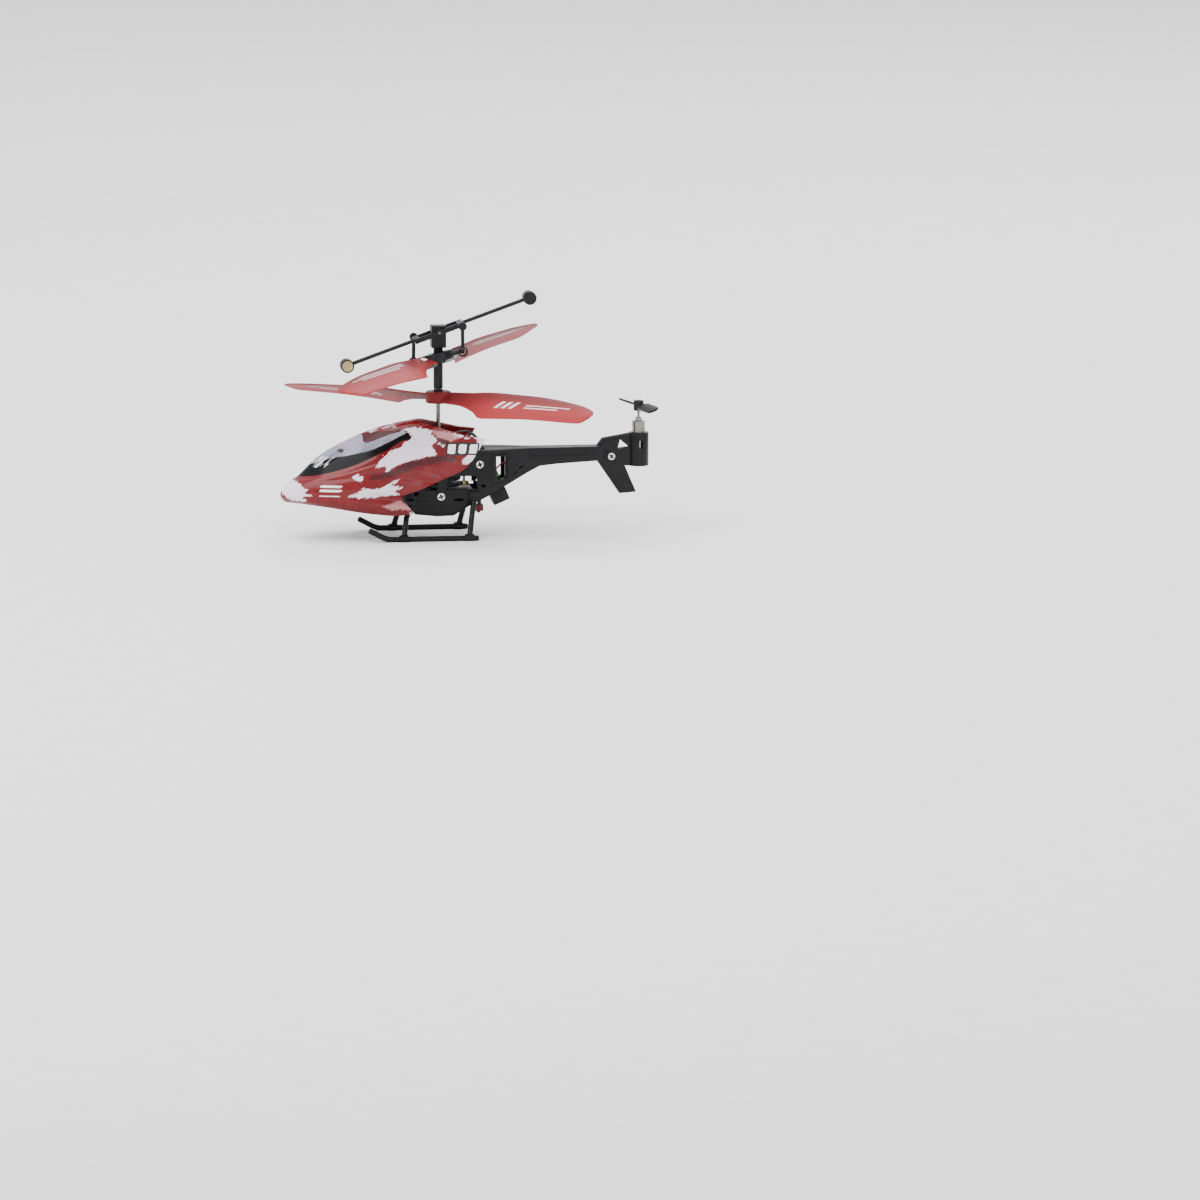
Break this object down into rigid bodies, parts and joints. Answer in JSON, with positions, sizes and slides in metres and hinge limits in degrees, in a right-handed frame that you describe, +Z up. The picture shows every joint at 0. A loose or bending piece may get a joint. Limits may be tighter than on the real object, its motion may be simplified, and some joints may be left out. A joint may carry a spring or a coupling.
{
  "type": "remote control helicopter",
  "caption": "Small indoor coaxial remote control helicopter with a glossy canopy, skids, a flybar head, twisted rotor blades and a tail rotor.",
  "frame": {"origin": "on the ground under the middle of the object's bounding box", "axes": "+X towards the nose, +Y to the port side, +Z up"},
  "size_m": [0.1257, 0.1039, 0.0816],
  "materials": {
    "canopy_red": "glossy paint",
    "window_black": "glossy",
    "frame_black": "satin moulded",
    "skid_black": "satin moulded",
    "battery_foil": "satin foil",
    "brass": "turned",
    "motor_steel": "plated",
    "aluminium_plate": "sheet",
    "white_plastic": "moulded",
    "board_green": "solder mask",
    "chip_black": "moulded",
    "receiver_red": "tinted",
    "wire_red": "insulation",
    "wire_black": "insulation",
    "screw_steel": "plated",
    "shaft_steel": "ground",
    "rotor_red": "translucent moulded"
  },
  "bodies": {
    "airframe": {"canopy_shell": "canopy_red", "windscreen": "window_black", "frame_left": "frame_black", "frame_right": "frame_black", "front_tongue": "frame_black", "battery_cell": "battery_foil", "canopy_pegs": "frame_black", "lower_plate": "frame_black", "motor_plate": "aluminium_plate", "lower_bush": "brass", "upper_bush": "brass", "front_motor": "motor_steel", "rear_motor": "motor_steel", "motor_caps": "white_plastic", "circuit_board": "board_green", "board_chips": "chip_black", "infrared_receiver": "receiver_red", "charge_socket": "frame_black", "switch_body": "frame_black", "motor_wires": "wire_black", "tail_wires": "wire_red", "left_runner": "skid_black", "right_runner": "skid_black", "front_left_strut": "skid_black", "front_right_strut": "skid_black", "rear_left_strut": "skid_black", "rear_right_strut": "skid_black", "tail_fin": "frame_black", "tail_motor": "motor_steel", "frame_screws": "screw_steel", "tail_screw": "screw_steel"},
    "outer_drive": {"outer_shaft": "shaft_steel", "upper_gear": "white_plastic", "lower_hub": "frame_black", "lower_blades": "rotor_red"},
    "inner_drive": {"inner_shaft": "shaft_steel", "lower_gear": "white_plastic", "mast_sleeve": "frame_black", "head_block": "frame_black", "teeter_pin": "shaft_steel", "flybar_pin": "shaft_steel"},
    "teeter": {"teeter_ring": "frame_black", "feather_pins": "shaft_steel"},
    "upper_rotor": {"blade_yoke": "frame_black", "upper_blades": "rotor_red", "blade_screws": "screw_steel"},
    "flybar": {"flybar_frame": "frame_black", "flybar_rods": "frame_black", "weight_cups": "frame_black", "weight_slugs": "brass"},
    "port_link": {"link_port": "frame_black"},
    "starboard_link": {"link_starboard": "frame_black"},
    "front_drive": {"front_pinion": "brass", "front_pinion_shaft": "shaft_steel"},
    "rear_drive": {"rear_pinion": "brass", "rear_pinion_shaft": "shaft_steel"},
    "tail_drive": {"tail_rotor": "frame_black", "tail_shaft": "shaft_steel"},
    "switch": {"switch_slider": "frame_black"}
  },
  "joints": [
    {"name": "outer_shaft_spin", "type": "hinge", "parent": "airframe", "child": "outer_drive", "pos_m": [0.0091, 0, 0.03], "axis": [0, 0, 1], "continuous": true},
    {"name": "inner_shaft_spin", "type": "hinge", "parent": "airframe", "child": "inner_drive", "pos_m": [0.0091, 0, 0.03], "axis": [0, 0, 1], "continuous": true},
    {"name": "front_pinion_spin", "type": "hinge", "parent": "airframe", "child": "front_drive", "pos_m": [0.01775, 0, 0.02], "axis": [0, 0, 1], "continuous": true},
    {"name": "rear_pinion_spin", "type": "hinge", "parent": "airframe", "child": "rear_drive", "pos_m": [0.00045, 0, 0.018], "axis": [0, 0, 1], "continuous": true},
    {"name": "rotor_teeter", "type": "hinge", "parent": "inner_drive", "child": "teeter", "pos_m": [0.0091, 0, 0.06], "axis": [-0.7431, 0.6691, 0], "range_deg": [-10.2, 1.8]},
    {"name": "rotor_feather", "type": "hinge", "parent": "teeter", "child": "upper_rotor", "pos_m": [0.0091, 0, 0.06], "axis": [0.6673, 0.7411, -0.0732], "range_deg": [-30.85, 1.87]},
    {"name": "flybar_tilt", "type": "hinge", "parent": "inner_drive", "child": "flybar", "pos_m": [0.0091, 0, 0.0685], "axis": [0, 1, 0], "range_deg": [-41.5, 2.5]},
    {"name": "port_link_pivot", "type": "hinge", "parent": "flybar", "child": "port_link", "pos_m": [0.00181, 0.00692, 0.07108], "axis": [0, 1, 0], "range_deg": [-2.5, 41.5]},
    {"name": "starboard_link_pivot", "type": "hinge", "parent": "flybar", "child": "starboard_link", "pos_m": [0.01639, -0.00692, 0.06592], "axis": [0, 1, 0], "range_deg": [-2.5, 41.5]},
    {"name": "tail_rotor_spin", "type": "hinge", "parent": "airframe", "child": "tail_drive", "pos_m": [-0.0583, 0, 0.04], "axis": [0, 0, 1], "continuous": true},
    {"name": "switch_slide", "type": "slide", "parent": "airframe", "child": "switch", "axis": [0.9178, 0, -0.3971], "range_m": [-0.00075, 0.00075]}
  ],
  "couplings": [
    {"joint": "front_pinion_spin", "follows": "outer_shaft_spin", "ratio": -5.3333},
    {"joint": "rear_pinion_spin", "follows": "inner_shaft_spin", "ratio": -5.3333},
    {"joint": "rotor_feather", "follows": "flybar_tilt", "ratio": 0.74314},
    {"joint": "port_link_pivot", "follows": "flybar_tilt", "ratio": -1},
    {"joint": "starboard_link_pivot", "follows": "flybar_tilt", "ratio": -1}
  ]
}
